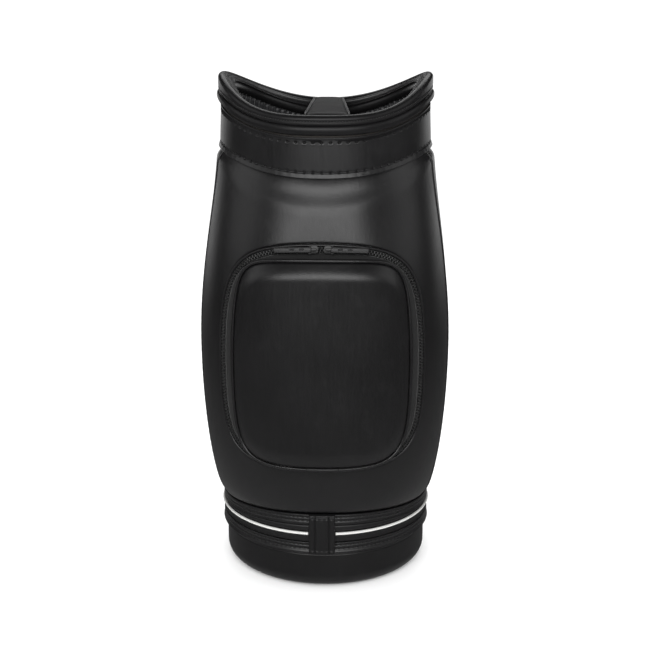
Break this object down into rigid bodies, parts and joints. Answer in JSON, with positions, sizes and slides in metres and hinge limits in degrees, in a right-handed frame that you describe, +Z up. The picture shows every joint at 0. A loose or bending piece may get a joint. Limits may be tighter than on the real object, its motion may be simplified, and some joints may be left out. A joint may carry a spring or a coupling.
{
  "type": "miniature golf bag",
  "caption": "Small staff-style golf bag in black leather with a saddle-shaped cuff, bridge strap, zipped front pocket and white-piped base.",
  "frame": {"origin": "centre of the underside of the base cup, on the surface the bag stands on", "axes": "+Z up along the tube's axis, -Y towards the front pocket, +X to the right seen from the front"},
  "size_m": [0.238, 0.2388, 0.4773],
  "materials": {
    "black_leather": "smooth satin, fine vertical grain",
    "black_trim": "dull",
    "white_piping": "smooth",
    "tube_board": "matte",
    "black_lining": "satin woven",
    "zip_tape": "woven",
    "zip_coil": "moulded",
    "slider_metal": "semi gloss"
  },
  "bodies": {
    "bag": {"base_cup": "black_leather", "lower_band": "black_leather", "channel_band": "black_trim", "white_piping": "white_piping", "channel_roll": "black_trim", "upper_band": "black_leather", "base_tab": "black_leather", "tube": "tube_board", "floor_board": "tube_board", "floor_pad": "black_lining", "tube_lining": "black_lining", "front_panel": "black_leather", "left_panel": "black_leather", "right_panel": "black_leather", "rear_panel": "black_leather", "front_seam_left": "black_leather", "front_seam_right": "black_leather", "rear_seam_left": "black_leather", "rear_seam_right": "black_leather", "collar_crown": "tube_board", "collar_band": "black_leather", "rim_bead": "black_leather", "rim_roll": "black_leather", "rim_facing": "black_leather", "bridge_strap": "black_leather", "bridge_bead_left": "black_leather", "bridge_bead_right": "black_leather", "bridge_anchor_front": "black_leather", "bridge_anchor_rear": "black_leather", "pocket_back": "black_lining", "pocket_wall": "black_lining", "pocket_edge_bead": "black_leather", "zip_tape_fixed": "zip_tape", "zip_coil_fixed": "zip_coil"},
    "pocket_lid": {"lid_face": "black_leather", "lid_wall": "black_leather", "lid_piping": "black_leather", "zip_tape_lid": "zip_tape", "zip_coil_lid": "zip_coil"},
    "slider_left": {"slider_left": "slider_metal"},
    "slider_right": {"slider_right": "slider_metal"},
    "pull_left": {"pull_left": "black_leather"},
    "pull_right": {"pull_right": "black_leather"}
  },
  "joints": [
    {"name": "pocket_lid_hinge", "type": "hinge", "parent": "bag", "child": "pocket_lid", "pos_m": [0, -0.1185, 0.1305], "axis": [1, 0, 0], "range_deg": [0, 85]},
    {"name": "slider_left_run", "type": "hinge", "parent": "pocket_lid", "child": "slider_left", "pos_m": [0, 0.0166, 0.2413], "axis": [0, -0.5678, -0.8231], "range_deg": [0, 15]},
    {"name": "slider_right_run", "type": "hinge", "parent": "pocket_lid", "child": "slider_right", "pos_m": [0, 0.0166, 0.2413], "axis": [0, 0.5678, 0.8231], "range_deg": [0, 15]},
    {"name": "pull_left_swing", "type": "hinge", "parent": "slider_left", "child": "pull_left", "pos_m": [-0.01006, -0.11734, 0.33167], "axis": [-0.0174, 0.1928, 0.9811], "range_deg": [0, 120]},
    {"name": "pull_right_swing", "type": "hinge", "parent": "slider_right", "child": "pull_right", "pos_m": [0.01006, -0.11734, 0.33167], "axis": [-0.0174, -0.1928, -0.9811], "range_deg": [0, 120]}
  ]
}
